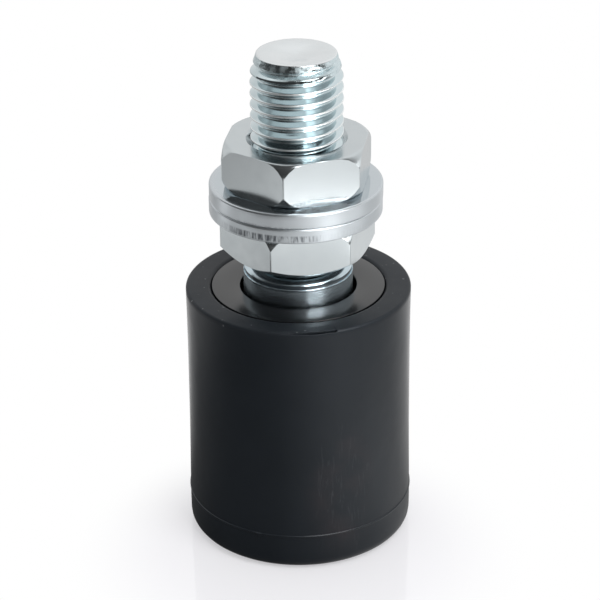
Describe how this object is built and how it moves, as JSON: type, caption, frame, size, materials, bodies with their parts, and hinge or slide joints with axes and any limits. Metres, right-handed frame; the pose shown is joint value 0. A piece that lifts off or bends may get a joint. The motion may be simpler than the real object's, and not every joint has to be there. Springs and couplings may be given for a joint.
{
  "type": "nylon guide roller",
  "caption": "Black nylon roller that turns on ball bearings round a zinc-plated spindle, with a threaded stud, nuts and washers that clamp it to a bracket to guide a sliding gate.",
  "frame": {"origin": "centre of the roller's closed end, which it stands on", "axes": "+Z along the spindle from the closed end to the free end of the stud, -Y towards the camera of the picture"},
  "size_m": [0.04, 0.04, 0.09],
  "materials": {
    "black_nylon": "moulded, satin",
    "cover_nylon": "moulded, smooth",
    "zinc_plated_steel": "bright zinc, blue passivated",
    "plain_steel": "turned",
    "spring_steel": "phosphated",
    "bearing_steel": "ground and polished",
    "cage_polyamide": "moulded",
    "seal_rubber": "moulded"
  },
  "bodies": {
    "spindle": {"spindle": "zinc_plated_steel", "spacer_sleeve": "plain_steel", "circlip": "spring_steel", "upper_bearing_inner_ring": "bearing_steel", "lower_bearing_inner_ring": "bearing_steel"},
    "roller": {"roller_shell": "black_nylon", "top_cover": "cover_nylon", "upper_bearing_outer_ring": "bearing_steel", "upper_bearing_top_seal": "seal_rubber", "upper_bearing_bottom_seal": "seal_rubber", "lower_bearing_outer_ring": "bearing_steel", "lower_bearing_top_seal": "seal_rubber", "lower_bearing_bottom_seal": "seal_rubber"},
    "upper_ball_set": {"upper_bearing_balls": "bearing_steel", "upper_bearing_cage": "cage_polyamide"},
    "lower_ball_set": {"lower_bearing_balls": "bearing_steel", "lower_bearing_cage": "cage_polyamide"},
    "upper_washer": {"upper_washer": "zinc_plated_steel"},
    "upper_nut": {"upper_nut": "zinc_plated_steel"},
    "lower_washer": {"lower_washer": "zinc_plated_steel"},
    "lower_nut": {"lower_nut": "zinc_plated_steel"}
  },
  "joints": [
    {"name": "roller_spin", "type": "hinge", "parent": "spindle", "child": "roller", "pos_m": [0, 0, 0.0245], "axis": [0, 0, 1], "continuous": true},
    {"name": "upper_balls_orbit", "type": "hinge", "parent": "spindle", "child": "upper_ball_set", "pos_m": [0, 0, 0.037], "axis": [0, 0, 1], "continuous": true},
    {"name": "lower_balls_orbit", "type": "hinge", "parent": "spindle", "child": "lower_ball_set", "pos_m": [0, 0, 0.012], "axis": [0, 0, 1], "continuous": true},
    {"name": "upper_washer_slide", "type": "slide", "parent": "spindle", "child": "upper_washer", "axis": [0, 0, 1], "range_m": [0, 0.014]},
    {"name": "upper_nut_turn", "type": "hinge", "parent": "upper_washer", "child": "upper_nut", "pos_m": [0, 0, 0.0707], "axis": [0, 0, 1], "range_deg": [0, 2524]},
    {"name": "lower_washer_slide", "type": "slide", "parent": "spindle", "child": "lower_washer", "axis": [0, 0, 1], "range_m": [-0.0012, 0]},
    {"name": "lower_nut_turn", "type": "hinge", "parent": "lower_washer", "child": "lower_nut", "pos_m": [0, 0, 0.0574], "axis": [0, 0, 1], "range_deg": [-218, 0]}
  ],
  "couplings": [
    {"joint": "upper_balls_orbit", "follows": "roller_spin", "ratio": 0.61905},
    {"joint": "lower_balls_orbit", "follows": "roller_spin", "ratio": 0.61905},
    {"joint": "upper_nut_turn", "follows": "upper_washer_slide", "rad_per_m": 3141.6},
    {"joint": "lower_nut_turn", "follows": "lower_washer_slide", "rad_per_m": 3141.6}
  ]
}
